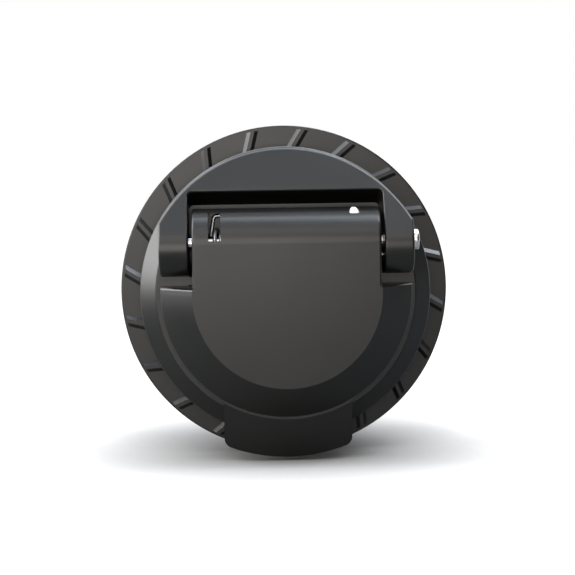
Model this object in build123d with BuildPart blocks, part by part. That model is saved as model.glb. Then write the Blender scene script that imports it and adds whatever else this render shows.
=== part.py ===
# USB panel mount port: a round housing for a 1-1/8 inch panel hole, with a sprung lid and a lock nut.
# Millimetres. The barrel's axis is Y, the front faces -Y, +Z is up, Y = 0 is the panel's front face.
import math
import os

from build123d import *

# Flange and barrel
BARREL_R = 14.2            # crest of the thread, for a 28.6 to 29 mm hole
BARREL_LEN = 24.0
BARREL_LEAD = 0.6          # lead-in of the thread at the barrel's end
BORE_R = 12.4
RIM_R = 18.0
RIM_DEPTH = 2.4
CONE_TOP_R = 16.0          # where the flange's 45 degree cone ends at its flat front
WEB_BACK_Y = 0.8
EDGE = 0.3                 # soft edges of the mouldings
LIP_EDGE = 0.24            # edges round the pocket's mouth and on the flange
CUT_PAST = 5.0             # how far the cuts run past the lid's face

# Hinge
AXIS_Y = -6.04
AXIS_Z = 6.4
KNUCKLE_R = 4.16
KNUCKLE_HALF = 11.35
POCKET_HALF = 11.8
POCKET_GAP = 0.38          # between the knuckle and the pocket's curved back
PIN_R = 0.8
PIN_RUNNING = 0.06
PIN_HEAD_R = 1.33
PIN_HEAD_LEN = 0.85
PIN_END_RECESS = 0.4

# Hinge block
BLOCK_R = 17.75
BLOCK_HALF = 15.35
SLOPE_DEG = 30.0           # lean of the block's front face
SLOPE_TOP_Z = 17.7
SLOPE_TOP_Y = -3.6
BLOCK_SINK = 0.6           # how far the block's foot runs into the flange
BLOCK_TOP_T = 1.6          # thickness of the block at its top
EAR_R = 3.6
EAR_Z = 5.8                # height of the ear's rounded nose
EAR_WRAP_DEG = 60.0        # how far the nose rolls under
LIP_Z = 12.64              # front edge of the pocket's roof
ROOF_BACK_Z = 10.9
POCKET_CORNER_R = 0.6

# Lid
LID_GAP = 0.1              # between the closed lid and the flange's land
FACE_R = 11.4
FACE_Z = 0.3
CONE_W = 3.95              # width of the sloped band, at 45 degrees
SHOULDER_Z = 1.1
PLATE_TOP_Z = 2.0          # where the lid's back steps forward under the knuckle
CUP_R = 11.6
CUP_Z = 0.6
CUP_DEPTH = 3.7
TAB_HALF = 7.87
TAB_WALL = 1.8             # thickness of the lip outside the flange's rim
TAB_TIP_Y = -4.9
TAB_BACK_Y = -3.0
TAB_CLEAR = 0.4            # between the lip and the flange's rim
TAB_CORNER_R = 1.2
SEAL_GAP = 0.1
SEAL_PLATE = 1.6
LOOP_OUT = 1.7             # outside of the seal's loop, beyond the shell
LOOP_IN = 0.8

# Spring, its window, and the lid's stop dowel
WIRE_R = 0.25
WIRE_HOLE = 0.05
COIL_R = 1.62
COIL_PITCH = 0.76
COIL_TURNS = 11.19
COIL_X = -9.05
CHAMBER_R = 2.2
CHAMBER_HALF = 9.4
WINDOW_W = 1.5
WINDOW_LOW = 0.3           # window heights above the hinge axis
WINDOW_HIGH = 3.8
LEG_RISE = 3.25
LEG_X = -8.7               # where the lid's leg bends along the pin
LEG_STRAIGHT = 0.8         # run of that leg off the coil before it leans
LEG_HOLD = 1.0             # run of the bent leg into the lid
LEG_BEND = 0.45
LEG_OUT = 0.6              # from the coil's end to the bend along the pin
LEG_IN_EAR = 1.4
LID_OPEN_DEG = 134.0       # where the open lid meets the pocket's lip
STOP_X = 8.25
STOP_R = 0.56
STOP_Z = 3.56              # above the hinge axis
STOP_FLAT = 0.16           # flat of the dowel below its centre
STOP_BACK = 1.5            # inner end behind the hinge axis
STOP_SET = 0.06            # upper edge of the ground end inside the knuckle's surface

# Port
PORT_Z = -4.0
WELL_R = 12.0
WELL_TOP_Z = 1.2
WELL_FLOOR_Y = -1.2
INSERT_THICK = 1.8
INSERT_GAP = 0.1
MOUTH_LEAD = 0.45          # lead-in round the port's opening
GROOVE_OUT = 1.6
GROOVE_IN = 0.8
GROOVE_DEEP = 0.5
SHELL_W = 13.1
SHELL_H = 5.7
SHELL_WALL = 0.3
SHELL_CORNER_R = 0.5
SHELL_GAP = 0.1
SHELL_FRONT_Y = -2.7
SHELL_BACK_Y = 11.2
FINGER_W = 2.0
FINGER_LEN = 4.2
FINGER_X = 3.2
FINGER_CUT = 0.4
FINGER_MID_Y = 3.2
TONGUE_W = 11.1
TONGUE_H = 1.84
TONGUE_DROP = 0.72         # from the shell's roof to the tongue
TONGUE_FRONT_Y = -1.7
BLOCK_FRONT_Y = 9.3
CONTACT_W = 1.0
CONTACT_XS = (-3.5, -1.0, 1.0, 3.5)
CONTACT_T = 0.2
CONTACT_FRONT_Y = -0.6
CONTACT_TAIL_W = 0.6
TAIL_HOLE_R = 0.45
TAIL_OUT = 0.6             # behind the block
TAIL_DROP = 0.8            # below the board

# Board and what it carries
BOARD_HALF = 8.5
BOARD_T = 1.2
BOARD_FRONT_Y = 1.2
BOARD_CAP_GAP = 1.0        # board's end in front of the cap's spigot
RAIL_IN_X = 7.6
RAIL_H = 3.6
RAIL_GAP = 0.05
RAIL_SHORT = 1.0           # by which the rails stop short of the board's end
CHIP_SIZE = (5.0, 3.6, 1.1)
CHIP_AT = (-4.6, 3.8)      # X, and Y behind the receptacle's back
CHIP_BEVEL = 0.15
CAN_R = 1.6
CAN_H = 4.2
CAN_AT = ((5.4, 2.4), (5.4, 6.0))  # in the same way
HEADER_SIZE = (8.4, 2.4, 2.5)
HEADER_AT = (-1.2, -1.6)   # X, and Y from the board's end
HEADER_PITCH = 2.0
PIN_W = 0.5
PIN_LEN = 8.0

# Gasket, nut and washer
GASKET_T = 1.0
GASKET_R = 17.4
GASKET_IN_R = 14.4
NUT_R = 20.7
NUT_FACE_Y = 3.2
NUT_FLANGE_T = 2.4
NUT_HUB_R = 17.6
NUT_LEN = 8.4
NUT_RUNNING = 0.06
NUT_EDGE = 0.18
RIBS = 20
RIB_H = 0.4
RIB_BASE_W = 1.35
RIB_TOP_W = 0.45
RIB_IN_R = 16.9
RIB_OUT_R = 20.3
RIB_LEAN_DEG = 25.0
RIB_RUN = 10.0             # straight bar that two circles trim to the rib's length
RIB_PHASE_DEG = 6.6        # clockwise from +X seen from the front, at the radius below
RIB_PHASE_R = 19.65
SCALLOPS = 12
SCALLOP_R = 2.2
SCALLOP_OUT = 0.55         # share of the flute's radius that its centre lies outside the hub
WASHER_T = 0.8
WASHER_IN_R = 14.35
WASHER_OUT_R = 16.5
WASHER_BACK_SET = 0.1      # behind the tips of the ribs
WASHER_GAP = 0.05

# Rear cap
CAP_R = 13.2
CAP_T = 2.0
SPIGOT_LEN = 3.0
SPIGOT_GAP = 0.08
NOSE_R = 5.2
NOSE_LEN = 6.0
NOSE_TAPER = 0.4           # less radius at the nose's end
GROMMET_R = 3.6
GROMMET_FLANGE_R = 4.4
GROMMET_FLANGE_T = 1.0
GROMMET_BEVEL = 0.4
GROMMET_INSET = 1.0        # from the cap's inner face
CORD_R = 2.0
SCREW_PCR = 10.4
SCREW_R = 0.9
SCREW_HEAD_R = 1.7
SCREW_HEAD_T = 1.1
SCREW_LEN = 9.0
SCREW_CLEAR = 0.1
DRIVE_R = 0.8
DRIVE_DEEP = 0.77
BOSS_R = 2.2
BOSS_LEN = 5.0
RING_R = 0.5               # section of the rubber ring

# Derived places
LAND_Y = -(RIM_DEPTH + RIM_R - CONE_TOP_R)
LID_FACE_Y = AXIS_Y - KNUCKLE_R
LID_BACK_Y = LAND_Y - LID_GAP
FRONT_Y = LID_FACE_Y - CUT_PAST
slope = math.tan(math.radians(SLOPE_DEG))
lean = math.radians(SLOPE_DEG)
wrap = math.radians(EAR_WRAP_DEG)
ear_top_z = EAR_Z + EAR_R * math.sin(lean)
ear_top_y = SLOPE_TOP_Y - (SLOPE_TOP_Z - ear_top_z) * slope
ear_axis_y = ear_top_y + EAR_R * math.cos(lean)
ear_top = (ear_top_y, ear_top_z)
ear_nose = (ear_axis_y - EAR_R, EAR_Z)
ear_under = (ear_axis_y - EAR_R * math.cos(wrap), EAR_Z - EAR_R * math.sin(wrap))
slope_end = (SLOPE_TOP_Y + (RIM_R - SLOPE_TOP_Z) * slope, RIM_R)
lip_y = SLOPE_TOP_Y - (SLOPE_TOP_Z - LIP_Z) * slope
pocket_r = KNUCKLE_R + POCKET_GAP
pocket_back_y = AXIS_Y + pocket_r
pocket_low_z = AXIS_Z - math.sqrt(pocket_r**2 - (LAND_Y - AXIS_Y) ** 2)
pocket_turn = math.acos((LAND_Y - AXIS_Y) / pocket_r) / 2
pocket_mid = (AXIS_Y + pocket_r * math.cos(pocket_turn), AXIS_Z - pocket_r * math.sin(pocket_turn))
insert_front_y = WELL_FLOOR_Y - INSERT_THICK
board_top_z = PORT_Z - SHELL_H / 2
board_mid_z = board_top_z - BOARD_T / 2
boss_end_y = BARREL_LEN - SPIGOT_LEN
board_back_y = boss_end_y - BOARD_CAP_GAP
header_at = (HEADER_AT[0], board_back_y + HEADER_AT[1])
hinge_line = Plane(origin=(0, AXIS_Y, AXIS_Z), x_dir=(0, 1, 0), z_dir=(1, 0, 0))
rim_z = FACE_R + CONE_W
tab_in_r = RIM_R + TAB_CLEAR
tab_r = tab_in_r + TAB_WALL
wall_mid_r = (BORE_R + BARREL_R) / 2

# Centre line of the spring's wire, needed by the lid and the ear as well
coil_edge = hinge_line.offset(COIL_X) * Helix(COIL_PITCH, COIL_PITCH * COIL_TURNS, COIL_R, lefthand=True)
coil_start = coil_edge @ 0
coil_end = coil_edge @ 1
start_dir = coil_edge % 0
end_dir = coil_edge % 1
leg_lean = coil_start - start_dir * LEG_STRAIGHT
lid_corner = Vector(LEG_X, coil_start.Y, AXIS_Z + LEG_RISE)
lid_leg_end = Vector(WINDOW_W - CHAMBER_HALF + LEG_HOLD, lid_corner.Y, lid_corner.Z)
ear_corner = coil_end + end_dir * LEG_OUT
ear_leg_end = Vector(POCKET_HALF + LEG_IN_EAR, ear_corner.Y, ear_corner.Z)
ear_leg_r = math.hypot(ear_corner.Y - AXIS_Y, ear_corner.Z - AXIS_Z)
ear_leg_deg = math.degrees(math.atan2(ear_corner.Z - AXIS_Z, ear_corner.Y - AXIS_Y))
leg_sweep = CenterArc((0, 0), ear_leg_r, ear_leg_deg, LID_OPEN_DEG)


def facing(y):
    """Plane at depth y seen from the front: local x is X, local y is Z, extrusion goes to the front."""
    return Plane.XZ.offset(-y)


def edges_at(edges, axis, value):
    """The edges that lie wholly at one place along an axis."""
    return edges.filter_by_position(axis, value - 0.01, value + 0.01)


os.makedirs("parts", exist_ok=True)

# Hinge block: a sloped front that rolls over into the two rounded ears
with BuildPart() as block:
    with BuildSketch(Plane.YZ):
        with BuildLine():
            Line(slope_end, ear_top)
            ThreePointArc(ear_top, ear_nose, ear_under)
            Polyline(ear_under, (LAND_Y + BLOCK_SINK, EAR_Z - EAR_R),
                     (SLOPE_TOP_Y + BLOCK_TOP_T, RIM_R), slope_end)
        make_face()
    extrude(amount=BLOCK_HALF, both=True)
    with BuildSketch(facing(0)):
        Circle(BLOCK_R)
    extrude(amount=-FRONT_Y, mode=Mode.INTERSECT)
    outline = block.edges().filter_by(GeomType.ELLIPSE)
    for side in (-BLOCK_HALF, BLOCK_HALF):
        flat = edges_at(block.edges(), Axis.X, side)
        outline += [e for e in flat if e.center().Y < LAND_Y - EDGE]
    fillet(outline, EDGE)

# Room for the knuckle: a sloped roof, a flat back and a curve around the hinge axis
with BuildPart() as pocket:
    with BuildSketch(Plane.YZ):
        with BuildLine():
            Polyline((FRONT_Y, pocket_low_z), (FRONT_Y, LIP_Z), (lip_y, LIP_Z), (pocket_back_y, ROOF_BACK_Z),
                     (pocket_back_y, AXIS_Z))
            ThreePointArc((pocket_back_y, AXIS_Z), pocket_mid, (LAND_Y, pocket_low_z))
            Line((LAND_Y, pocket_low_z), (FRONT_Y, pocket_low_z))
        make_face()
    extrude(amount=POCKET_HALF, both=True)
    roof_mid = ((lip_y + pocket_back_y) / 2, (LIP_Z + ROOF_BACK_Z) / 2)
    roof_corners = [pocket.edges().sort_by_distance((x, *roof_mid))[0] for x in (-POCKET_HALF, POCKET_HALF)]
    fillet(roof_corners, POCKET_CORNER_R)

with BuildPart() as housing:
    # Flange with its cone, and the barrel with its bore open to the back
    with BuildSketch(Plane.XY):
        Polygon((0, WEB_BACK_Y), (0, LAND_Y), (CONE_TOP_R, LAND_Y), (RIM_R, -RIM_DEPTH), (RIM_R, 0),
                (BARREL_R, 0), (BARREL_R, BARREL_LEN - BARREL_LEAD), (BARREL_R - BARREL_LEAD, BARREL_LEN),
                (BORE_R, BARREL_LEN), (BORE_R, WEB_BACK_Y), align=None)
    revolve(axis=Axis.Y)
    add(block.part)
    add(pocket.part, mode=Mode.SUBTRACT)
    # Well for the insert
    with BuildSketch(facing(WELL_FLOOR_Y)):
        Circle(WELL_R)
        with Locations((0, WELL_TOP_Z - WELL_R)):
            Rectangle(2 * WELL_R, 2 * WELL_R, mode=Mode.INTERSECT)
    extrude(amount=WELL_FLOOR_Y - FRONT_Y, mode=Mode.SUBTRACT)
    # Opening for the receptacle through the web
    with BuildSketch(facing(WEB_BACK_Y)):
        with Locations((0, PORT_Z)):
            Rectangle(SHELL_W + 2 * SHELL_GAP, SHELL_H + 2 * SHELL_GAP)
    extrude(amount=WEB_BACK_Y - WELL_FLOOR_Y, mode=Mode.SUBTRACT)
    # Pin bores through the ears
    with BuildSketch(Plane.YZ):
        with Locations((AXIS_Y, AXIS_Z)):
            Circle(PIN_R)
    extrude(amount=BLOCK_HALF, both=True, mode=Mode.SUBTRACT)
    # Hole in the right ear for the spring's leg
    with BuildSketch(Plane.YZ.offset(POCKET_HALF)):
        with Locations((ear_corner.Y, ear_corner.Z)):
            Circle(WIRE_R + WIRE_HOLE)
    extrude(amount=LEG_IN_EAR + WIRE_HOLE, mode=Mode.SUBTRACT)
    # Rails for the board's edges
    with BuildSketch(facing(board_back_y - RAIL_SHORT)):
        with Locations((BORE_R, board_mid_z), (-BORE_R, board_mid_z)):
            Rectangle(2 * (BORE_R - RAIL_IN_X), RAIL_H)
        Circle(wall_mid_r, mode=Mode.INTERSECT)
        with Locations((0, board_mid_z)):
            Rectangle(2 * (BOARD_HALF + RAIL_GAP), BOARD_T + 2 * RAIL_GAP, mode=Mode.SUBTRACT)
    extrude(amount=board_back_y - RAIL_SHORT - WEB_BACK_Y)
    # Bosses for the cap's screws
    with BuildSketch(facing(boss_end_y)):
        with Locations((SCREW_PCR, 0), (-SCREW_PCR, 0)):
            Circle(BOSS_R)
        Circle(wall_mid_r, mode=Mode.INTERSECT)
    extrude(amount=BOSS_LEN)
    with BuildSketch(facing(boss_end_y)):
        with Locations((SCREW_PCR, 0), (-SCREW_PCR, 0)):
            Circle(SCREW_R)
    extrude(amount=BOSS_LEN, mode=Mode.SUBTRACT)

    # Soft lips around the pocket's mouth and on the flange
    lips = [housing.edges().sort_by_distance((0, lip_y, LIP_Z))[0]]
    side_mid = ((lip_y + ear_top_y) / 2, (LIP_Z + ear_top_z) / 2)
    for x in (-POCKET_HALF, POCKET_HALF):
        lips.append(housing.edges().sort_by_distance((x, *side_mid))[0])
        lips.append(housing.edges().sort_by_distance((x, ear_nose[0], EAR_Z))[0])
    lips.append(housing.edges().sort_by_distance((0, -RIM_DEPTH, -RIM_R))[0])
    lips.append(housing.edges().sort_by_distance((0, LAND_Y, -CONE_TOP_R))[0])
    fillet(lips, LIP_EDGE)
housing.part.label = "housing"
export_step(housing.part, "parts/housing.step")

# Thumb lip, which hangs over the flange's rim
flare_z = FACE_Z - math.sqrt(rim_z**2 - TAB_HALF**2)
with BuildPart() as thumb_lip:
    with BuildSketch(Plane.XY):
        Polygon((FACE_R, LID_FACE_Y + CONE_W), (rim_z, LID_FACE_Y + CONE_W), (tab_r, TAB_TIP_Y),
                (tab_r, TAB_BACK_Y), (tab_in_r, TAB_BACK_Y), (tab_in_r, LID_BACK_Y),
                (FACE_R, LID_BACK_Y), align=None)
    revolve(axis=Axis.Y)
    with BuildSketch(facing(0)) as lip_outline:
        with Locations((0, FACE_Z)):
            Circle(rim_z)
        with Locations((0, -tab_r / 2)):
            Rectangle(2 * TAB_HALF, tab_r + 2 * TAB_CORNER_R)
        flares = [lip_outline.vertices().sort_by_distance((x, 0, flare_z))[0] for x in (-TAB_HALF, TAB_HALF)]
        fillet(flares, TAB_CORNER_R)
        with Locations((0, -tab_r)):
            Rectangle(2 * (TAB_HALF + TAB_CORNER_R), 2 * (tab_r - FACE_R), mode=Mode.INTERSECT)
    extrude(amount=-FRONT_Y, mode=Mode.INTERSECT)
    tips = [e for e in thumb_lip.edges().filter_by(Axis.Y) if e.center().Z < -RIM_R]
    fillet(tips, TAB_CORNER_R)

# Outline of the stop dowel, a circle with a flat, seen from the front
dowel_back = facing(AXIS_Y + STOP_BACK)
dowel_reach = math.sqrt(KNUCKLE_R ** 2 - (STOP_Z + STOP_R) ** 2) - STOP_SET
with BuildSketch(dowel_back) as dowel_outline:
    with Locations((STOP_X, AXIS_Z + STOP_Z)):
        Circle(STOP_R)
        with Locations((0, STOP_R - STOP_FLAT)):
            Rectangle(2 * STOP_R, 2 * STOP_R, mode=Mode.INTERSECT)

# Lid: face and band turned about the face's centre, shoulders, middle plate, knuckle and thumb lip
face_plane = Plane(origin=(0, 0, FACE_Z))
with BuildPart() as lid:
    band_back = ((rim_z, LID_BACK_Y), (rim_z, LID_FACE_Y + CONE_W), (FACE_R, LID_FACE_Y))
    with BuildSketch(face_plane):
        Polygon((0, LID_FACE_Y), (0, LID_BACK_Y), *band_back, align=None)
    revolve(axis=Axis((0, 0, FACE_Z), (0, 1, 0)))
    split(bisect_by=face_plane, keep=Keep.BOTTOM)
    with BuildSketch(face_plane):
        Polygon((0, LID_FACE_Y), (0, LID_BACK_Y), *band_back, align=None)
        mirror(about=Plane.YZ)
    extrude(amount=SHOULDER_Z - FACE_Z)
    shoulder_tops = [lid.edges().sort_by_distance((x, LID_FACE_Y + CONE_W / 2, SHOULDER_Z))[0]
                     for x in (-FACE_R - CONE_W / 2, FACE_R + CONE_W / 2)]
    rim_points = ((rim_z, LID_FACE_Y + CONE_W, (FACE_Z + SHOULDER_Z) / 2),
                  (-rim_z, LID_FACE_Y + CONE_W, (FACE_Z + SHOULDER_Z) / 2),
                  (0, LID_FACE_Y + CONE_W, FACE_Z - rim_z))
    rims = [lid.edges().sort_by_distance(point)[0] for point in rim_points]
    fillet(shoulder_tops + rims, EDGE)
    with BuildSketch(Plane.YZ):
        with Locations((AXIS_Y, AXIS_Z)):
            Circle(KNUCKLE_R)
        Polygon((LID_FACE_Y, AXIS_Z), (LID_FACE_Y, 0), (LID_BACK_Y, 0), (LID_BACK_Y, PLATE_TOP_Z),
                (AXIS_Y, PLATE_TOP_Z), (AXIS_Y, AXIS_Z), align=None)
    extrude(amount=KNUCKLE_HALF, both=True)
    knuckle_edges = []
    for x in (-KNUCKLE_HALF, KNUCKLE_HALF):
        knuckle_edges.append(lid.edges().sort_by_distance((x, LID_FACE_Y, AXIS_Z / 2))[0])
        knuckle_edges.append(lid.edges().sort_by_distance((x, AXIS_Y, AXIS_Z + KNUCKLE_R))[0])
    fillet(knuckle_edges, EDGE)
    add(thumb_lip.part)
    # Cup at the back for the seal
    with BuildSketch(facing(LID_BACK_Y)):
        Circle(CUP_R)
        with Locations((0, CUP_Z - CUP_R)):
            Rectangle(2 * CUP_R, 2 * CUP_R, mode=Mode.INTERSECT)
    extrude(amount=CUP_DEPTH, mode=Mode.SUBTRACT)
    # Spring chamber, pin bore, window, and the holes for the spring's two legs
    with BuildSketch(Plane.YZ):
        with Locations((AXIS_Y, AXIS_Z)):
            Circle(CHAMBER_R)
    extrude(amount=CHAMBER_HALF, both=True, mode=Mode.SUBTRACT)
    with BuildSketch(Plane.YZ):
        with Locations((AXIS_Y, AXIS_Z)):
            Circle(PIN_R + PIN_RUNNING)
    extrude(amount=KNUCKLE_HALF, both=True, mode=Mode.SUBTRACT)
    with BuildSketch(facing(AXIS_Y + CHAMBER_R)):
        with Locations((WINDOW_W / 2 - CHAMBER_HALF, AXIS_Z + (WINDOW_LOW + WINDOW_HIGH) / 2)):
            Rectangle(WINDOW_W, WINDOW_HIGH - WINDOW_LOW)
    extrude(amount=AXIS_Y + CHAMBER_R - FRONT_Y, mode=Mode.SUBTRACT)
    with BuildSketch(Plane.YZ.offset(WINDOW_W - CHAMBER_HALF)):
        with Locations((lid_corner.Y, lid_corner.Z)):
            Circle(WIRE_R + WIRE_HOLE)
    extrude(amount=LEG_HOLD + WIRE_HOLE, mode=Mode.SUBTRACT)
    with BuildSketch(hinge_line.offset(CHAMBER_HALF)):
        SlotArc(leg_sweep, 2 * (WIRE_R + 2 * WIRE_HOLE))
    extrude(amount=KNUCKLE_HALF - CHAMBER_HALF, mode=Mode.SUBTRACT)
    # Blind hole of the stop dowel
    with BuildSketch(dowel_back):
        add(dowel_outline.sketch)
    extrude(amount=KNUCKLE_R + STOP_BACK, mode=Mode.SUBTRACT)
lid.part.label = "lid"
export_step(lid.part, "parts/lid.step")

# Torsion spring: the lid's leg, the coil and the leg that runs along the pin into the ear
with BuildPart() as hinge_spring:
    with BuildLine() as wire:
        FilletPolyline(lid_leg_end, lid_corner, leg_lean, coil_start, radius=LEG_BEND)
        add(coil_edge)
        FilletPolyline(coil_end, ear_corner, ear_leg_end, radius=LEG_BEND)
    with BuildSketch(Plane(origin=lid_leg_end, z_dir=(-1, 0, 0))):
        Circle(WIRE_R)
    sweep()
hinge_spring.part.label = "hinge_spring"
export_step(hinge_spring.part, "parts/hinge_spring.step")

# Stop dowel in the knuckle's right end, its flat ground end just inside the surface
with BuildPart() as spring_stop:
    with BuildSketch(dowel_back):
        add(dowel_outline.sketch)
    extrude(amount=STOP_BACK + dowel_reach)
spring_stop.part.label = "spring_stop"
export_step(spring_stop.part, "parts/spring_stop.step")

# Hinge pin with its head outside the right ear
with BuildPart() as hinge_pin:
    with BuildSketch(Plane.YZ.offset(PIN_END_RECESS - BLOCK_HALF)):
        with Locations((AXIS_Y, AXIS_Z)):
            Circle(PIN_R)
    extrude(amount=2 * BLOCK_HALF - PIN_END_RECESS)
    with BuildSketch(Plane.YZ.offset(BLOCK_HALF)):
        with Locations((AXIS_Y, AXIS_Z)):
            Circle(PIN_HEAD_R)
    extrude(amount=PIN_HEAD_LEN)
    fillet(edges_at(hinge_pin.edges(), Axis.X, BLOCK_HALF + PIN_HEAD_LEN), EDGE)
    chamfer(edges_at(hinge_pin.edges(), Axis.X, PIN_END_RECESS - BLOCK_HALF), EDGE / 2)
hinge_pin.part.label = "hinge_pin"
export_step(hinge_pin.part, "parts/hinge_pin.step")

# Rubber seal in the lid's cup, with a raised loop that meets the insert round the port
with BuildPart() as lid_seal:
    with BuildSketch(facing(LID_BACK_Y - CUP_DEPTH + SEAL_PLATE)):
        Circle(CUP_R - SEAL_GAP)
        with Locations((0, CUP_Z - SEAL_GAP - CUP_R)):
            Rectangle(2 * CUP_R, 2 * CUP_R, mode=Mode.INTERSECT)
    extrude(amount=SEAL_PLATE)
    with BuildSketch(facing(insert_front_y - LID_GAP)):
        with Locations((0, PORT_Z)):
            RectangleRounded(SHELL_W + 2 * LOOP_OUT, SHELL_H + 2 * LOOP_OUT, LOOP_OUT)
            RectangleRounded(SHELL_W + 2 * LOOP_IN, SHELL_H + 2 * LOOP_IN, LOOP_IN, mode=Mode.SUBTRACT)
    extrude(amount=insert_front_y - LID_GAP - (LID_BACK_Y - CUP_DEPTH + SEAL_PLATE))
lid_seal.part.label = "lid_seal"
export_step(lid_seal.part, "parts/lid_seal.step")

# Insert plate with the port's opening and a groove for its ring
with BuildPart() as port_insert:
    with BuildSketch(facing(WELL_FLOOR_Y)):
        Circle(WELL_R - INSERT_GAP)
        with Locations((0, WELL_TOP_Z - INSERT_GAP - WELL_R)):
            Rectangle(2 * WELL_R, 2 * WELL_R, mode=Mode.INTERSECT)
        with Locations((0, PORT_Z)):
            Rectangle(SHELL_W + 2 * SHELL_GAP, SHELL_H + 2 * SHELL_GAP, mode=Mode.SUBTRACT)
    extrude(amount=INSERT_THICK)
    mouth = [e for e in edges_at(port_insert.edges(), Axis.Y, insert_front_y)
             if abs(e.center().X) < WELL_R / 1.5 and abs(e.center().Z - PORT_Z) < SHELL_H / 2 + GROOVE_IN]
    chamfer(mouth, MOUTH_LEAD)
    with BuildSketch(facing(WELL_FLOOR_Y)):
        with Locations((0, PORT_Z)):
            RectangleRounded(SHELL_W + 2 * GROOVE_OUT, SHELL_H + 2 * GROOVE_OUT, GROOVE_OUT)
            RectangleRounded(SHELL_W + 2 * GROOVE_IN, SHELL_H + 2 * GROOVE_IN, GROOVE_IN, mode=Mode.SUBTRACT)
    extrude(amount=GROOVE_DEEP, mode=Mode.SUBTRACT)
port_insert.part.label = "port_insert"
export_step(port_insert.part, "parts/port_insert.step")

with BuildPart() as insert_ring:
    with BuildSketch(facing(WELL_FLOOR_Y)):
        with Locations((0, PORT_Z)):
            RectangleRounded(SHELL_W + 2 * GROOVE_OUT, SHELL_H + 2 * GROOVE_OUT, GROOVE_OUT)
            RectangleRounded(SHELL_W + 2 * GROOVE_IN, SHELL_H + 2 * GROOVE_IN, GROOVE_IN, mode=Mode.SUBTRACT)
    extrude(amount=GROOVE_DEEP)
insert_ring.part.label = "insert_ring"
export_step(insert_ring.part, "parts/insert_ring.step")

# Receptacle shell: a drawn box with two sprung fingers cut in its roof and two in its floor
with BuildPart() as usb_shell:
    with BuildSketch(facing(SHELL_BACK_Y)):
        with Locations((0, PORT_Z)):
            RectangleRounded(SHELL_W, SHELL_H, SHELL_CORNER_R + SHELL_WALL)
            RectangleRounded(SHELL_W - 2 * SHELL_WALL, SHELL_H - 2 * SHELL_WALL, SHELL_CORNER_R,
                             mode=Mode.SUBTRACT)
    extrude(amount=SHELL_BACK_Y - SHELL_FRONT_Y)
    with BuildSketch(Plane.XY.offset(PORT_Z - SHELL_H)):
        for x in (-FINGER_X, FINGER_X):
            with Locations((x, FINGER_MID_Y)):
                Rectangle(FINGER_W + 2 * FINGER_CUT, FINGER_LEN)
            with Locations((x, FINGER_MID_Y + FINGER_CUT)):
                Rectangle(FINGER_W, FINGER_LEN, mode=Mode.SUBTRACT)
    extrude(amount=2 * SHELL_H, mode=Mode.SUBTRACT)
usb_shell.part.label = "usb_shell"
export_step(usb_shell.part, "parts/usb_shell.step")

# Tongue and back block in one moulding
tongue_top_z = PORT_Z + SHELL_H / 2 - SHELL_WALL - TONGUE_DROP
with BuildPart() as usb_tongue:
    with BuildSketch(facing(SHELL_BACK_Y)):
        with Locations((0, PORT_Z)):
            RectangleRounded(SHELL_W - 2 * SHELL_WALL, SHELL_H - 2 * SHELL_WALL, SHELL_CORNER_R)
    extrude(amount=SHELL_BACK_Y - BLOCK_FRONT_Y)
    with BuildSketch(facing(BLOCK_FRONT_Y)):
        with Locations((0, tongue_top_z - TONGUE_H / 2)):
            Rectangle(TONGUE_W, TONGUE_H)
    extrude(amount=BLOCK_FRONT_Y - TONGUE_FRONT_Y)
    chamfer(edges_at(usb_tongue.edges(), Axis.Y, TONGUE_FRONT_Y), EDGE)
    with BuildSketch(facing(SHELL_BACK_Y)):
        for x in CONTACT_XS:
            with Locations((x, tongue_top_z - TONGUE_H + CONTACT_T / 2)):
                Rectangle(CONTACT_W, CONTACT_T)
    extrude(amount=SHELL_BACK_Y - CONTACT_FRONT_Y, mode=Mode.SUBTRACT)
usb_tongue.part.label = "usb_tongue"
export_step(usb_tongue.part, "parts/usb_tongue.step")

# Four contacts: a strip under the tongue and a tail down through the board
with BuildPart() as usb_contacts:
    with BuildSketch(facing(SHELL_BACK_Y + TAIL_OUT)):
        for x in CONTACT_XS:
            with Locations((x, tongue_top_z - TONGUE_H + CONTACT_T / 2)):
                Rectangle(CONTACT_W, CONTACT_T)
    extrude(amount=SHELL_BACK_Y + TAIL_OUT - CONTACT_FRONT_Y)
    with BuildSketch(Plane.XY.offset(board_top_z - BOARD_T - TAIL_DROP)):
        for x in CONTACT_XS:
            with Locations((x, SHELL_BACK_Y + TAIL_OUT - CONTACT_T / 2)):
                Rectangle(CONTACT_TAIL_W, CONTACT_T)
    extrude(amount=tongue_top_z - TONGUE_H + CONTACT_T - (board_top_z - BOARD_T - TAIL_DROP))
usb_contacts.part.label = "usb_contacts"
export_step(usb_contacts.part, "parts/usb_contacts.step")

# Board with holes for the contacts' tails and the header's pins
with BuildPart() as circuit_board:
    with BuildSketch(Plane.XY.offset(board_top_z - BOARD_T)):
        with Locations((0, (BOARD_FRONT_Y + board_back_y) / 2)):
            Rectangle(2 * BOARD_HALF, board_back_y - BOARD_FRONT_Y)
        for x in CONTACT_XS:
            with Locations((x, SHELL_BACK_Y + TAIL_OUT - CONTACT_T / 2)):
                Circle(TAIL_HOLE_R, mode=Mode.SUBTRACT)
        with Locations(header_at):
            with GridLocations(HEADER_PITCH, 1, 4, 1):
                Circle(TAIL_HOLE_R, mode=Mode.SUBTRACT)
    extrude(amount=BOARD_T)
circuit_board.part.label = "circuit_board"
export_step(circuit_board.part, "parts/circuit_board.step")

with BuildPart() as board_chip:
    with BuildSketch(Plane.XY.offset(board_top_z)):
        with Locations((CHIP_AT[0], SHELL_BACK_Y + CHIP_AT[1])):
            Rectangle(CHIP_SIZE[0], CHIP_SIZE[1])
    extrude(amount=CHIP_SIZE[2])
    chamfer(edges_at(board_chip.edges(), Axis.Z, board_top_z + CHIP_SIZE[2]), CHIP_BEVEL)
board_chip.part.label = "board_chip"
export_step(board_chip.part, "parts/board_chip.step")

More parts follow.
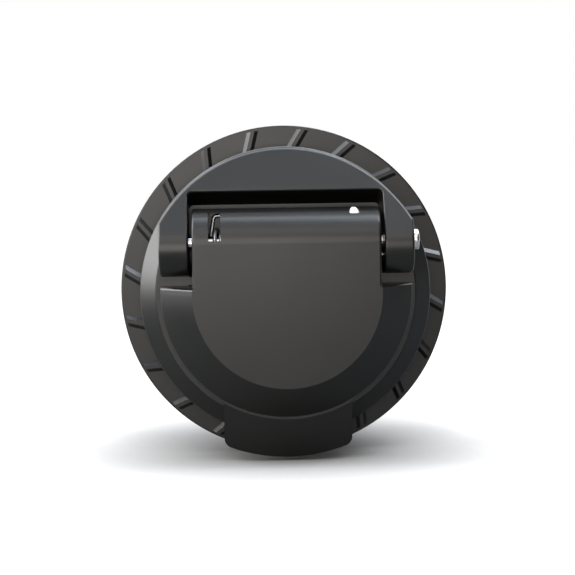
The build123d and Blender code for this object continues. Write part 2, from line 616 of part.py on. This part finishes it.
# Two round capacitors with the crimp near the foot
with BuildPart() as board_capacitors:
    with BuildSketch(Plane.XY.offset(board_top_z)):
        with Locations(*((x, SHELL_BACK_Y + y) for x, y in CAN_AT)):
            Circle(CAN_R)
    extrude(amount=CAN_H)
    fillet(edges_at(board_capacitors.edges(), Axis.Z, board_top_z + CAN_H), EDGE)
board_capacitors.part.label = "board_capacitors"
export_step(board_capacitors.part, "parts/board_capacitors.step")

with BuildPart() as header_body:
    with BuildSketch(Plane.XY.offset(board_top_z)):
        with Locations(header_at):
            Rectangle(HEADER_SIZE[0], HEADER_SIZE[1])
            with GridLocations(HEADER_PITCH, 1, 4, 1):
                Rectangle(PIN_W, PIN_W, mode=Mode.SUBTRACT)
    extrude(amount=HEADER_SIZE[2])
header_body.part.label = "header_body"
export_step(header_body.part, "parts/header_body.step")

with BuildPart() as header_pins:
    with BuildSketch(Plane.XY.offset(board_top_z - BOARD_T - TAIL_DROP)):
        with Locations(header_at):
            with GridLocations(HEADER_PITCH, 1, 4, 1):
                Rectangle(PIN_W, PIN_W)
    extrude(amount=PIN_LEN)
header_pins.part.label = "header_pins"
export_step(header_pins.part, "parts/header_pins.step")

# Rubber gasket under the flange
with BuildPart() as panel_gasket:
    with BuildSketch(facing(GASKET_T)):
        Circle(GASKET_R)
        Circle(GASKET_IN_R, mode=Mode.SUBTRACT)
    extrude(amount=GASKET_T)
panel_gasket.part.label = "panel_gasket"
export_step(panel_gasket.part, "parts/panel_gasket.step")

# One slanted rib with sloped flanks
phase = math.radians(RIB_PHASE_DEG)
along = math.radians(RIB_PHASE_DEG + RIB_LEAN_DEG)
rib_dir = Vector(math.cos(along), 0, -math.sin(along))
rib_mid = Vector(RIB_PHASE_R * math.cos(phase), NUT_FACE_Y, -RIB_PHASE_R * math.sin(phase))
rib_plane = Plane(origin=rib_mid - rib_dir * RIB_RUN / 2, x_dir=(-rib_dir.Z, 0, rib_dir.X), z_dir=rib_dir)
with BuildPart() as nut_rib:
    with BuildSketch(rib_plane):
        Polygon((-RIB_BASE_W / 2, 0), (RIB_BASE_W / 2, 0), (RIB_TOP_W / 2, RIB_H), (-RIB_TOP_W / 2, RIB_H),
                align=None)
    extrude(amount=RIB_RUN)
    with BuildSketch(facing(NUT_FACE_Y)):
        Circle(RIB_OUT_R)
        Circle(RIB_IN_R, mode=Mode.SUBTRACT)
    extrude(amount=NUT_LEN, mode=Mode.INTERSECT)

# Lock nut: ribbed flange, fluted hub, bore and the washer's seat
nut_bore_r = BARREL_R + NUT_RUNNING
nut_step_y = NUT_FACE_Y + NUT_FLANGE_T
nut_back_y = NUT_FACE_Y + NUT_LEN
washer_front_y = NUT_FACE_Y - RIB_H + WASHER_BACK_SET
washer_seat_y = washer_front_y + WASHER_T + WASHER_GAP
with BuildPart() as lock_nut:
    with BuildSketch(Plane.XY):
        Polygon((nut_bore_r, washer_seat_y), (WASHER_OUT_R + WASHER_GAP, washer_seat_y),
                (WASHER_OUT_R + WASHER_GAP, NUT_FACE_Y), (NUT_R, NUT_FACE_Y), (NUT_R, nut_step_y),
                (NUT_HUB_R, nut_step_y), (NUT_HUB_R, nut_back_y), (nut_bore_r, nut_back_y), align=None)
    revolve(axis=Axis.Y)
    fillet(lock_nut.edges().filter_by(GeomType.CIRCLE).group_by(SortBy.RADIUS)[-1], NUT_EDGE)
    with BuildSketch(facing(nut_back_y)):
        with PolarLocations(NUT_HUB_R + SCALLOP_R * SCALLOP_OUT, SCALLOPS):
            Circle(SCALLOP_R)
    extrude(amount=NUT_LEN - NUT_FLANGE_T, mode=Mode.SUBTRACT)
    for i in range(RIBS):
        add(nut_rib.part, rotation=(0, i * 360 / RIBS, 0))
lock_nut.part.label = "lock_nut"
export_step(lock_nut.part, "parts/lock_nut.step")

with BuildPart() as nut_washer:
    with BuildSketch(facing(washer_front_y + WASHER_T)):
        Circle(WASHER_OUT_R)
        Circle(WASHER_IN_R, mode=Mode.SUBTRACT)
    extrude(amount=WASHER_T)
nut_washer.part.label = "nut_washer"
export_step(nut_washer.part, "parts/nut_washer.step")

# Rear cap: disc, spigot, and the nose that holds the rubber sleeve of the cord's inlet
cap_back_y = BARREL_LEN + CAP_T
nose_end_y = cap_back_y + NOSE_LEN
with BuildPart() as rear_cap:
    with BuildSketch(Plane.XY):
        Polygon((0, boss_end_y), (BORE_R - SPIGOT_GAP, boss_end_y), (BORE_R - SPIGOT_GAP, BARREL_LEN),
                (CAP_R, BARREL_LEN), (CAP_R, cap_back_y), (NOSE_R, cap_back_y),
                (NOSE_R - NOSE_TAPER, nose_end_y), (0, nose_end_y), align=None)
    revolve(axis=Axis.Y)
    with BuildSketch(facing(nose_end_y)):
        Circle(GROMMET_R)
    extrude(amount=nose_end_y - boss_end_y, mode=Mode.SUBTRACT)
    with BuildSketch(Plane.XY):
        with Locations((BORE_R - SPIGOT_GAP, (boss_end_y + BARREL_LEN) / 2)):
            Circle(RING_R)
    revolve(axis=Axis.Y, mode=Mode.SUBTRACT)
    with BuildSketch(facing(cap_back_y)):
        with Locations((SCREW_PCR, 0), (-SCREW_PCR, 0)):
            Circle(SCREW_R + SCREW_CLEAR)
    extrude(amount=cap_back_y - boss_end_y, mode=Mode.SUBTRACT)
    fillet(edges_at(rear_cap.edges(), Axis.Y, cap_back_y).group_by(SortBy.LENGTH)[-1], EDGE)
rear_cap.part.label = "rear_cap"
export_step(rear_cap.part, "parts/rear_cap.step")

with BuildPart() as cap_ring:
    with BuildSketch(Plane.XY):
        with Locations((BORE_R - SPIGOT_GAP, (boss_end_y + BARREL_LEN) / 2)):
            Circle(RING_R)
        with Locations((BORE_R / 2, BARREL_LEN)):
            Rectangle(BORE_R, 2 * BARREL_LEN, mode=Mode.INTERSECT)
    revolve(axis=Axis.Y)
cap_ring.part.label = "cap_ring"
export_step(cap_ring.part, "parts/cap_ring.step")

# Two pan-head screws with a cross recess
with BuildPart() as cap_screws:
    with BuildSketch(facing(cap_back_y)):
        with Locations((SCREW_PCR, 0), (-SCREW_PCR, 0)):
            Circle(SCREW_R)
    extrude(amount=SCREW_LEN)
    with BuildSketch(facing(cap_back_y + SCREW_HEAD_T)):
        with Locations((SCREW_PCR, 0), (-SCREW_PCR, 0)):
            Circle(SCREW_HEAD_R)
    extrude(amount=SCREW_HEAD_T)
    fillet(edges_at(cap_screws.edges(), Axis.Y, cap_back_y + SCREW_HEAD_T), EDGE)
    with BuildSketch(facing(cap_back_y + SCREW_HEAD_T)):
        with Locations((SCREW_PCR, 0), (-SCREW_PCR, 0)):
            Rectangle(2 * DRIVE_R, DRIVE_R / 2)
            Rectangle(DRIVE_R / 2, 2 * DRIVE_R)
    extrude(amount=DRIVE_DEEP, mode=Mode.SUBTRACT)
cap_screws.part.label = "cap_screws"
export_step(cap_screws.part, "parts/cap_screws.step")

# Rubber sleeve in the cord's inlet, open for the cord
sleeve_front_y = boss_end_y + GROMMET_INSET
sleeve_back_y = nose_end_y + GROMMET_FLANGE_T
with BuildPart() as inlet_grommet:
    with BuildSketch(Plane.XY):
        Polygon((CORD_R, sleeve_front_y), (GROMMET_R, sleeve_front_y), (GROMMET_R, nose_end_y),
                (GROMMET_FLANGE_R, nose_end_y), (GROMMET_FLANGE_R - GROMMET_BEVEL, sleeve_back_y),
                (CORD_R, sleeve_back_y), align=None)
    revolve(axis=Axis.Y)
inlet_grommet.part.label = "inlet_grommet"
export_step(inlet_grommet.part, "parts/inlet_grommet.step")
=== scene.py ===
import math

import bmesh
import bpy
from mathutils import Matrix, Vector
from mathutils.kdtree import KDTree


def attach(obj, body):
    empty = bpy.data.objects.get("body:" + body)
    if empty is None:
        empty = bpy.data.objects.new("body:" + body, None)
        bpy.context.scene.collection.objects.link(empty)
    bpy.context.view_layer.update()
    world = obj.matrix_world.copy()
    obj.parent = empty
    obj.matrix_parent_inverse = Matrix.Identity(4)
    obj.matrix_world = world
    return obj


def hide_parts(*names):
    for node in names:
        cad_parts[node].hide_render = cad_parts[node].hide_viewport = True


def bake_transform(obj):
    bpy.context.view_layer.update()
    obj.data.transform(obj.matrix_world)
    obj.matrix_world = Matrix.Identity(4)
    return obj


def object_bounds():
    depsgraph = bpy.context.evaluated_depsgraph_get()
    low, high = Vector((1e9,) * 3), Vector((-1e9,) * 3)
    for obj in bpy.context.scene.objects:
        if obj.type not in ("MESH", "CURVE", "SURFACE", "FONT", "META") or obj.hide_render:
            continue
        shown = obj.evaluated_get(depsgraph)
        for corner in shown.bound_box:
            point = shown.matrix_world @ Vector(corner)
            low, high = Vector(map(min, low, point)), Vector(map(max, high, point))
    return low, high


MM = 0.001
FLOOR_R = 6.0

# Places and sizes that part.py gives, in millimetres
HINGE_Y = -6.04
HINGE_Z = 6.4
WIRE_R = 0.25
COIL_R = 1.62
COIL_X = -9.05
COIL_PITCH = 0.76
COIL_TURNS = 11.19
LEG_RISE = 3.25
LEG_X = -8.7
LEG_STRAIGHT = 0.8
LEG_BEND = 0.45
LEG_OUT = 0.6
LID_LEG_X = -6.9
EAR_LEG_X = 13.2
BARREL_R = 14.2
BARREL_END_Y = 24.0
BARREL_LEAD = 0.6
GASKET_T = 1.0
THREAD_PITCH = 1.5

# Sizes and steps of the looks alone, in millimetres
THREAD_DEPTH = 0.65
THREAD_STEPS = 96
WIRE_SIDES = 14
BEND_STEPS = 8
COIL_STEPS = 30
MERGE_GAP = 1e-3           # between corners that are made one
PLACE_SLACK = 0.01         # where faces are picked by their place
GLOSS_CLOUD = 7.0          # width of the slow changes of gloss on the black mouldings

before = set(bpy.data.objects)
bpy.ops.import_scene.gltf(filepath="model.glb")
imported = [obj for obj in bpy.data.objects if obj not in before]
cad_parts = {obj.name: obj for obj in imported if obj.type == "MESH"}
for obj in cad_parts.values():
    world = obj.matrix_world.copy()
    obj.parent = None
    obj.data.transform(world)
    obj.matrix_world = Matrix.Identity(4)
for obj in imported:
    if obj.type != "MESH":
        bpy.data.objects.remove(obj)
cad_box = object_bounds()


def linear(code):
    """Linear RGBA of an sRGB hex colour."""
    channels = [int(code[i:i + 2], 16) / 255 for i in (1, 3, 5)]
    return [c / 12.92 if c <= 0.04045 else ((c + 0.055) / 1.055) ** 2.4 for c in channels] + [1.0]


def add_node(tree, kind, settings=None, links=None):
    """Adds a node with its settings, and links its inputs to other nodes' outputs."""
    node = tree.nodes.new(kind)
    for name, value in (settings or {}).items():
        if isinstance(name, int) or name in node.inputs:
            node.inputs[name].default_value = value
        else:
            setattr(node, name, value)
    for name, output in (links or {}).items():
        tree.links.new(output, node.inputs[name])
    return node


def new_material(name):
    """An empty material and its node tree."""
    material = bpy.data.materials.new(name)
    material.use_nodes = True
    material.node_tree.nodes.clear()
    return material, material.node_tree


def moulded_black(name, dark, light, roughness, grain_mm, depth_mm):
    """Injection-moulded black plastic: spark-eroded grain from the mould, and a slow change of gloss."""
    material, tree = new_material(name)
    place = add_node(tree, "ShaderNodeTexCoord").outputs["Object"]
    cloud = add_node(tree, "ShaderNodeTexNoise", {"Scale": 1 / (GLOSS_CLOUD * MM), "Detail": 3.0},
                     {"Vector": place})
    grain = add_node(tree, "ShaderNodeTexNoise", {"Scale": 1 / (grain_mm * MM), "Detail": 2.0},
                     {"Vector": place})
    colour = add_node(tree, "ShaderNodeMix", {"data_type": "RGBA", 6: linear(dark), 7: linear(light)},
                      {0: cloud.outputs["Fac"]})
    gloss = add_node(tree, "ShaderNodeMapRange", {"To Min": roughness - 0.04, "To Max": roughness + 0.05},
                     {"Value": cloud.outputs["Fac"]})
    bump = add_node(tree, "ShaderNodeBump", {"Strength": 0.6, "Distance": depth_mm * MM},
                    {"Height": grain.outputs["Fac"]})
    shader = add_node(tree, "ShaderNodeBsdfPrincipled", {"IOR": 1.5, "Specular IOR Level": 0.45},
                      {"Base Color": colour.outputs[2], "Roughness": gloss.outputs["Result"],
                       "Normal": bump.outputs["Normal"]})
    add_node(tree, "ShaderNodeOutputMaterial", None, {"Surface": shader.outputs["BSDF"]})
    return material


def turned_metal(name, colour, roughness, marks_mm, spread):
    """Metal with fine tool or drawing marks; marks_mm is their length along X, Y and Z."""
    material, tree = new_material(name)
    place = add_node(tree, "ShaderNodeTexCoord").outputs["Object"]
    along = add_node(tree, "ShaderNodeMapping", {"Scale": [1 / (length * MM) for length in marks_mm]},
                     {"Vector": place})
    marks = add_node(tree, "ShaderNodeTexNoise", {"Scale": 1.0, "Detail": 3.0},
                     {"Vector": along.outputs["Vector"]})
    gloss = add_node(tree, "ShaderNodeMapRange", {"To Min": roughness - spread, "To Max": roughness + spread},
                     {"Value": marks.outputs["Fac"]})
    bump = add_node(tree, "ShaderNodeBump", {"Strength": 0.3, "Distance": 0.0008 * MM},
                    {"Height": marks.outputs["Fac"]})
    shader = add_node(tree, "ShaderNodeBsdfPrincipled", {"Base Color": linear(colour), "Metallic": 1.0},
                      {"Roughness": gloss.outputs["Result"], "Normal": bump.outputs["Normal"]})
    add_node(tree, "ShaderNodeOutputMaterial", None, {"Surface": shader.outputs["BSDF"]})
    return material


def plain_moulding(name, colour, shade, roughness, spot_mm):
    """Small smooth moulding or rubber part with a faint cloudiness."""
    material, tree = new_material(name)
    place = add_node(tree, "ShaderNodeTexCoord").outputs["Object"]
    cloud = add_node(tree, "ShaderNodeTexNoise", {"Scale": 1 / (spot_mm * MM), "Detail": 4.0},
                     {"Vector": place})
    tone = add_node(tree, "ShaderNodeMix", {"data_type": "RGBA", 6: linear(colour), 7: linear(shade)},
                    {0: cloud.outputs["Fac"]})
    gloss = add_node(tree, "ShaderNodeMapRange", {"To Min": roughness - 0.05, "To Max": roughness + 0.05},
                     {"Value": cloud.outputs["Fac"]})
    bump = add_node(tree, "ShaderNodeBump", {"Strength": 0.4, "Distance": 0.004 * MM},
                    {"Height": cloud.outputs["Fac"]})
    shader = add_node(tree, "ShaderNodeBsdfPrincipled", {"IOR": 1.5},
                      {"Base Color": tone.outputs[2], "Roughness": gloss.outputs["Result"],
                       "Normal": bump.outputs["Normal"]})
    add_node(tree, "ShaderNodeOutputMaterial", None, {"Surface": shader.outputs["BSDF"]})
    return material


# Glass-filled nylon in a spark-eroded mould: satin black, the grain of about 0.12 mm barely breaks the gloss
nylon = moulded_black("satin_black_nylon", "#0f0f0f", "#141413", 0.31, 0.12, 0.0025)
# The nut is of the same nylon from a coarser mould, so it is a little duller
nut_nylon = moulded_black("nut_black_nylon", "#100f0f", "#151414", 0.33, 0.15, 0.003)
# ABS of the port's plate, from a nearly smooth mould: a little lighter and closer to gloss
insert_black = moulded_black("insert_black_abs", "#121212", "#161616", 0.3, 0.3, 0.001)
# Soft moulded nitrile rubber: dull, slightly bloomed
rubber = plain_moulding("moulded_nitrile_rubber", "#141414", "#1b1b1a", 0.62, 0.5)
# Glass-filled PBT of the tongue and the header: creamy white and dull
white_moulding = plain_moulding("white_glass_filled_pbt", "#e4e3dc", "#dad9d0", 0.45, 0.6)
# Epoxy resin of the chip's package, moulded: greyish black and dull
chip_resin = plain_moulding("black_epoxy_resin", "#1b1b1d", "#242426", 0.5, 0.3)
# Glass laminate under a green solder mask: dark green, with a soft gloss
board_green = plain_moulding("green_solder_mask", "#0f4a25", "#13552c", 0.3, 2.0)
# Centreless-ground stainless steel: bright, with fine rings round the pin's own axis
ground_steel = turned_metal("ground_stainless_steel", "#d9dadb", 0.2, (0.25, 3.33, 3.33), 0.05)
# Drawn spring wire: slightly duller than the pin
spring_wire_steel = turned_metal("drawn_spring_wire", "#c9cbcc", 0.38, (1.11, 1.11, 1.11), 0.06)
# Nickel plate over rolled steel sheet: warm and half bright, with long faint rolling marks
nickel_plate = turned_metal("bright_nickel_plate", "#c6c3bb", 0.3, (1.11, 5.0, 1.11), 0.04)
# Gold flash over stamped brass: thin enough that the rolled strip shows through
gold_flash = turned_metal("gold_flashed_brass", "#d8b35c", 0.25, (1.43, 8.33, 1.43), 0.05)
# Impact-drawn aluminium can: pale, with faint rings round its upright axis
can_aluminium = turned_metal("drawn_aluminium_can", "#cfd1d4", 0.32, (3.33, 3.33, 0.4), 0.06)

NODE_FINISH = {
    "housing": nylon, "lid": nylon, "rear_cap": nylon, "lock_nut": nut_nylon, "port_insert": insert_black,
    "lid_seal": rubber, "insert_ring": rubber, "panel_gasket": rubber, "cap_ring": rubber,
    "inlet_grommet": rubber,
    "hinge_pin": ground_steel, "spring_stop": ground_steel, "hinge_spring": spring_wire_steel,
    "usb_shell": nickel_plate, "cap_screws": nickel_plate, "nut_washer": nickel_plate,
    "usb_tongue": white_moulding, "header_body": white_moulding,
    "usb_contacts": gold_flash, "header_pins": gold_flash,
    "circuit_board": board_green, "board_chip": chip_resin, "board_capacitors": can_aluminium,
}
for name, finish in NODE_FINISH.items():
    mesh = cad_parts[name].data
    mesh.materials.clear()
    mesh.materials.append(finish)


def place_piece(name, bm, material, angle_deg):
    """Makes an object of a bmesh in millimetres: metres, faces outwards, smooth up to an angle."""
    bmesh.ops.remove_doubles(bm, verts=bm.verts, dist=1e-4)
    bmesh.ops.recalc_face_normals(bm, faces=bm.faces)
    bmesh.ops.scale(bm, vec=(MM, MM, MM), verts=bm.verts)
    mesh = bpy.data.meshes.new(name)
    bm.to_mesh(mesh)
    bm.free()
    mesh.materials.append(material)
    mesh.shade_smooth()
    mesh.set_sharp_from_angle(angle=math.radians(angle_deg))
    piece = bpy.data.objects.new(name, mesh)
    bpy.context.scene.collection.objects.link(piece)
    return piece


def straight(bm, ring, step):
    """Carries an open ring of edges along a straight run and returns the ring at its end."""
    made = bmesh.ops.extrude_edge_only(bm, edges=ring)["geom"]
    corners = [g for g in made if isinstance(g, bmesh.types.BMVert)]
    bmesh.ops.translate(bm, vec=step, verts=corners)
    return [g for g in made if isinstance(g, bmesh.types.BMEdge) and all(v in corners for v in g.verts)]


def turn(bm, ring, centre, axis, degrees, steps, advance=(0, 0, 0)):
    """Carries an open ring of edges round an axis, with an advance in all, and returns the ring at its end."""
    made = bmesh.ops.spin(bm, geom=ring, cent=centre, axis=axis, dvec=Vector(advance) / steps,
                          angle=math.radians(degrees), steps=steps, use_merge=False)["geom_last"]
    return [g for g in made if isinstance(g, bmesh.types.BMEdge)]


def wire_corner(bm, ring, here, corner, onward):
    """Runs the spring's wire to a corner, bends it onto a new heading, and returns the ring and its place."""
    heading = (corner - here).normalized()
    sweep = heading.angle(onward)
    run = LEG_BEND * math.tan(sweep / 2)
    axis = heading.cross(onward).normalized()
    bend_start = corner - heading * run
    ring = straight(bm, ring, bend_start - here)
    ring = turn(bm, ring, bend_start + axis.cross(heading) * LEG_BEND, axis, math.degrees(sweep), BEND_STEPS)
    return ring, corner + onward * run


# Torsion spring of drawn wire: the lid's leg, its bends, the coil, and the leg along the pin into the ear
climb = math.atan(COIL_PITCH / (2 * math.pi * COIL_R))
down = Vector((math.sin(climb), 0, -math.cos(climb)))
coil_start = Vector((COIL_X, HINGE_Y + COIL_R, HINGE_Z))
leg_lean = coil_start - down * LEG_STRAIGHT
leg_top = Vector((LEG_X, coil_start.y, HINGE_Z + LEG_RISE))
leg_end = Vector((LID_LEG_X, leg_top.y, leg_top.z))
bm = bmesh.new()
bmesh.ops.create_circle(bm, cap_ends=False, radius=WIRE_R, segments=WIRE_SIDES,
                        matrix=Matrix.Translation(leg_end) @ Matrix.Rotation(math.pi / 2, 4, "Y"))
ring, here = wire_corner(bm, bm.edges[:], leg_end, leg_top, (leg_lean - leg_top).normalized())
ring, here = wire_corner(bm, ring, here, leg_lean, down)
ring = straight(bm, ring, coil_start - here)
coil_length = COIL_PITCH * COIL_TURNS
ring = turn(bm, ring, (COIL_X, HINGE_Y, HINGE_Z), (1, 0, 0), -360 * COIL_TURNS,
            round(COIL_STEPS * COIL_TURNS), (coil_length, 0, 0))
wound = -2 * math.pi * COIL_TURNS
coil_end = Vector((COIL_X + coil_length, HINGE_Y + COIL_R * math.cos(wound),
                   HINGE_Z + COIL_R * math.sin(wound)))
off = Vector((math.sin(climb), math.sin(wound) * math.cos(climb), -math.cos(wound) * math.cos(climb)))
ring, here = wire_corner(bm, ring, coil_end, coil_end + off * LEG_OUT, Vector((1, 0, 0)))
straight(bm, ring, (EAR_LEG_X - here.x, 0, 0))
bmesh.ops.holes_fill(bm, edges=[e for e in bm.edges if e.is_boundary], sides=0)
spring = place_piece("torsion_spring", bm, spring_wire_steel, 50)
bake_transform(spring)
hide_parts("hinge_spring")

# Housing with its thread, right-handed, 60 degrees. The barrel's plain face is taken off a copy of the CAD
# housing, and one pitch of the thread is carried round and along, trimmed at the gasket and at the lead-in.
# The crest is twice as wide as the root
bm = bmesh.new()
bm.from_mesh(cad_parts["housing"].data)
bmesh.ops.scale(bm, vec=(1 / MM, 1 / MM, 1 / MM), verts=bm.verts)
bmesh.ops.remove_doubles(bm, verts=bm.verts, dist=MERGE_GAP)
bare = [f for f in bm.faces
        if min(math.hypot(v.co.x, v.co.z) for v in f.verts) > BARREL_R - BARREL_LEAD - PLACE_SLACK
        and min(v.co.y for v in f.verts) > -PLACE_SLACK and max(v.co.y for v in f.verts) > GASKET_T]
bmesh.ops.delete(bm, geom=bare, context="FACES")
shell = bpy.data.meshes.new("housing_shell")
bm.to_mesh(shell)
bm.free()
# Its stored corner normals don't fit a mesh that has lost faces
shell.attributes.remove(shell.attributes["custom_normal"])
root_r = BARREL_R - THREAD_DEPTH
flank = THREAD_DEPTH * math.tan(math.radians(30))
flat = (THREAD_PITCH - 2 * flank) / 3
heights = (0, 2 * flat, 2 * flat + flank, 3 * flat + flank, THREAD_PITCH)
lead_y = BARREL_END_Y - BARREL_LEAD
turns = (BARREL_END_Y + 2 * THREAD_PITCH) / THREAD_PITCH
bm = bmesh.new()
points = [bm.verts.new((r, y - THREAD_PITCH, 0))
          for r, y in zip((BARREL_R, BARREL_R, root_r, root_r, BARREL_R), heights)]
profile = [bm.edges.new((points[i], points[i + 1])) for i in range(4)]
turn(bm, profile, (0, 0, 0), (0, 1, 0), 360 * turns, round(THREAD_STEPS * turns),
     (0, turns * THREAD_PITCH, 0))
bmesh.ops.remove_doubles(bm, verts=bm.verts, dist=MERGE_GAP)
bmesh.ops.bisect_plane(bm, geom=bm.verts[:] + bm.edges[:] + bm.faces[:], plane_co=(0, GASKET_T, 0),
                       plane_no=(0, -1, 0), clear_outer=True)
bmesh.ops.bisect_plane(bm, geom=bm.verts[:] + bm.edges[:] + bm.faces[:], plane_co=(0, lead_y, 0),
                       plane_no=(0, 1, 0), clear_outer=True)
bm.from_mesh(shell)
bpy.data.meshes.remove(shell)
open_edges = [e for e in bm.edges if e.is_boundary]
for side in (-1, 1):
    bmesh.ops.bridge_loops(bm, edges=[e for e in open_edges if (e.verts[0].co.y - lead_y / 2) * side > 0])
threaded = place_piece("threaded_housing", bm, nylon, 40)
# The faces kept from the CAD housing take that mesh's own corner normals, which are exact on the fillets
cad_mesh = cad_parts["housing"].data
centres = KDTree(len(cad_mesh.polygons))
for face in cad_mesh.polygons:
    centres.insert(face.center, face.index)
centres.balance()
mesh = threaded.data
normals = [Vector((0, 0, 0))] * len(mesh.loops)
for face in mesh.polygons:
    centre, match, gap = centres.find(face.center)
    if gap < 1e-4 * MM:
        corners = {i: cad_mesh.vertices[cad_mesh.loops[i].vertex_index].co
                   for i in cad_mesh.polygons[match].loop_indices}
        for loop in face.loop_indices:
            spot = mesh.vertices[mesh.loops[loop].vertex_index].co
            nearest = min(corners, key=lambda i: (corners[i] - spot).length)
            normals[loop] = cad_mesh.corner_normals[nearest].vector.copy()
mesh.normals_split_custom_set(normals)
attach(threaded, "housing")
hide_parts("housing")


def shown_white(tree, depth, near, far):
    """1 for camera rays, and 1 behind the object for reflections and clear parts too, else 0."""
    rays = add_node(tree, "ShaderNodeLightPath")
    rear = add_node(tree, "ShaderNodeMapRange", {"From Min": near, "From Max": far}, {"Value": depth})
    bounced = add_node(tree, "ShaderNodeMath", {"operation": "MAXIMUM"},
                       {0: rays.outputs["Is Glossy Ray"], 1: rays.outputs["Is Transmission Ray"]})
    behind = add_node(tree, "ShaderNodeMath", {"operation": "MULTIPLY"},
                      {0: bounced.outputs[0], 1: rear.outputs["Result"]})
    return add_node(tree, "ShaderNodeMath", {"operation": "MAXIMUM"},
                    {0: rays.outputs["Is Camera Ray"], 1: behind.outputs[0]}).outputs[0]


# Floor: a plain pale sweep, lifted to white for the camera by a glow that carries a painted contact shadow
# where it meets the object
floor_paint, tree = new_material("white_sweep_painted_shadow")
place = add_node(tree, "ShaderNodeTexCoord").outputs["Object"]
away = add_node(tree, "ShaderNodeVectorMath", {"operation": "LENGTH"}, {0: place})
# The glow rises from 0.93 near the object to 1 far off, so the floor is painted a little darker towards the
# object
lift = add_node(tree, "ShaderNodeMapRange",
                {"From Min": 0.06, "From Max": 0.35, "To Min": 0.93, "To Max": 1.0},
                {"Value": away.outputs["Value"]})
# Painted contact shadow: the glow is multiplied by ambient occlusion squared, so it darkens under and around
# the object on top of the lamps' own shadow
contact_occlusion = add_node(tree, "ShaderNodeAmbientOcclusion", {"samples": 12, "Distance": 0.018})
shade = add_node(tree, "ShaderNodeMath", {"operation": "POWER", 1: 2.0}, {0: contact_occlusion.outputs["AO"]})
lifted = add_node(tree, "ShaderNodeMath", {"operation": "MULTIPLY"},
                  {0: lift.outputs["Result"], 1: shade.outputs[0]})
split = add_node(tree, "ShaderNodeSeparateXYZ", None, {0: place})
strength = add_node(tree, "ShaderNodeMath", {"operation": "MULTIPLY"},
                    {0: shown_white(tree, split.outputs["Y"], 0.04, 0.16), 1: lifted.outputs[0]})
paint = add_node(tree, "ShaderNodeBsdfDiffuse", {"Color": linear("#707070")})
glow = add_node(tree, "ShaderNodeEmission", None, {"Strength": strength.outputs[0]})
both = add_node(tree, "ShaderNodeAddShader", None, {0: paint.outputs[0], 1: glow.outputs[0]})
add_node(tree, "ShaderNodeOutputMaterial", None, {"Surface": both.outputs[0]})

bm = bmesh.new()
bmesh.ops.create_circle(bm, cap_ends=True, radius=FLOOR_R, segments=64)
bmesh.ops.translate(bm, vec=(0, 0, cad_box[0][2]), verts=bm.verts)
mesh = bpy.data.meshes.new("floor")
bm.to_mesh(mesh)
bm.free()
floor = bpy.data.objects.new("floor", mesh)
bpy.context.scene.collection.objects.link(floor)
mesh.materials.append(floor_paint)

# World: white for the camera and behind the object, and a low grey fill from elsewhere
world = bpy.data.worlds.new("studio")
bpy.context.scene.world = world
world.use_nodes = True
tree = world.node_tree
tree.nodes.clear()
heading = add_node(tree, "ShaderNodeTexCoord").outputs["Generated"]
ahead = add_node(tree, "ShaderNodeSeparateXYZ", None, {0: heading})
level = add_node(tree, "ShaderNodeMath", {"operation": "MAXIMUM", 1: 0.035},
                 {0: shown_white(tree, ahead.outputs["Y"], 0.15, 0.45)})
sky = add_node(tree, "ShaderNodeBackground", {"Color": (1, 1, 1, 1)}, {"Strength": level.outputs[0]})
add_node(tree, "ShaderNodeOutputWorld", None, {"Surface": sky.outputs[0]})


def softbox(name, azimuth, elevation, distance, width, height, radiance, tint):
    """Soft lamp that faces the object; azimuth 0 is the front, positive to the right."""
    lamp = bpy.data.lights.new(name, "AREA")
    lamp.shape = "RECTANGLE"
    lamp.size = width
    lamp.size_y = height
    lamp.energy = radiance * math.pi * width * height
    lamp.color = linear(tint)[:3]
    box = bpy.data.objects.new(name, lamp)
    bpy.context.scene.collection.objects.link(box)
    a, e = math.radians(azimuth), math.radians(elevation)
    place = Vector((math.sin(a) * math.cos(e), -math.cos(a) * math.cos(e), math.sin(e))) * distance
    box.matrix_world = Matrix.Translation(place) @ place.to_track_quat("Z", "Y").to_matrix().to_4x4()
    return box


softbox("key_left", -92, 19, 0.5, 0.32, 0.34, 10.0, "#ffffff")
softbox("left_high", -90, 53, 0.5, 0.24, 0.22, 6.0, "#ffffff")
softbox("front_low", -24, 8.5, 0.27, 0.34, 0.118, 4.6, "#fffaf4")
softbox("front_high", -16, 40, 0.6, 0.60, 0.30, 2.4, "#fffaf4")
softbox("top_panel", 0, 66, 0.5, 0.60, 0.24, 1.1, "#e8f2ff")
softbox("top_strip", 0, 89, 0.5, 1.00, 0.10, 7.0, "#e8f4ff")
softbox("right_high", 66, 66, 0.5, 0.16, 0.15, 17.0, "#f2f7ff")
softbox("rim_panel", 180, 50, 0.5, 0.90, 0.20, 3.5, "#eef6ff")

# Camera at the photograph's own place: a little left of the front and above it, with a slight roll
CAMERA_AZIMUTH = math.radians(1.851)
CAMERA_ELEVATION = math.radians(4.168)
CAMERA_ROLL = math.radians(-0.868)
CAMERA_DISTANCE = 0.21209
CAMERA_AIM = Vector((0.317 * MM, 0.0, 0.381 * MM))
camera_data = bpy.data.cameras.new("camera")
camera_data.lens = 105.87
camera_data.sensor_width = 36.0
camera_data.clip_start = 0.01
camera_data.clip_end = 50.0
camera = bpy.data.objects.new("camera", camera_data)
bpy.context.scene.collection.objects.link(camera)
toward = Vector((-math.sin(CAMERA_AZIMUTH) * math.cos(CAMERA_ELEVATION),
                 -math.cos(CAMERA_AZIMUTH) * math.cos(CAMERA_ELEVATION), math.sin(CAMERA_ELEVATION)))
right = (-toward).cross(Vector((0, 0, 1))).normalized()
up = right.cross(-toward)
tilt = Matrix((right * math.cos(CAMERA_ROLL) + up * math.sin(CAMERA_ROLL),
               up * math.cos(CAMERA_ROLL) - right * math.sin(CAMERA_ROLL), toward)).transposed()
camera.matrix_world = Matrix.Translation(CAMERA_AIM + toward * CAMERA_DISTANCE) @ tilt.to_4x4()
bpy.context.scene.camera = camera

bpy.context.scene.view_settings.view_transform = "Standard"
